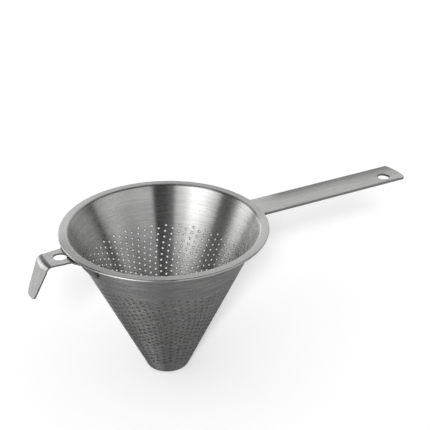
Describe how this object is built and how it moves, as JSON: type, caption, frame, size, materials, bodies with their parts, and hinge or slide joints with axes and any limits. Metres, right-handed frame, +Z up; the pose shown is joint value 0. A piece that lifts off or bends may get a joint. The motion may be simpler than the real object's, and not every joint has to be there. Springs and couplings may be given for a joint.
{
  "type": "chinois strainer",
  "caption": "Conical steel strainer with a flat rolled rim, a perforated wall, a long flat strap handle with a hanging hole, and a bent rest hook opposite the handle.",
  "frame": {"origin": "on the cone's axis, in the plane of the rim's top face, where the strainer sits in the mouth of a vessel", "axes": "+Z up along the cone's axis, out of the mouth; +X along the handle, away from the hook"},
  "size_m": [0.3096, 0.15, 0.115],
  "materials": {
    "bowl_steel": "spun stainless sheet, brushed in circles",
    "strap_steel": "stainless strap, brushed lengthwise",
    "weld_metal": "plain weld metal"
  },
  "bodies": {
    "root": {"sieve_bowl": "bowl_steel", "handle": "strap_steel", "handle_spot_welds": "weld_metal", "hook": "strap_steel", "hook_spot_welds": "weld_metal"}
  },
  "joints": []
}
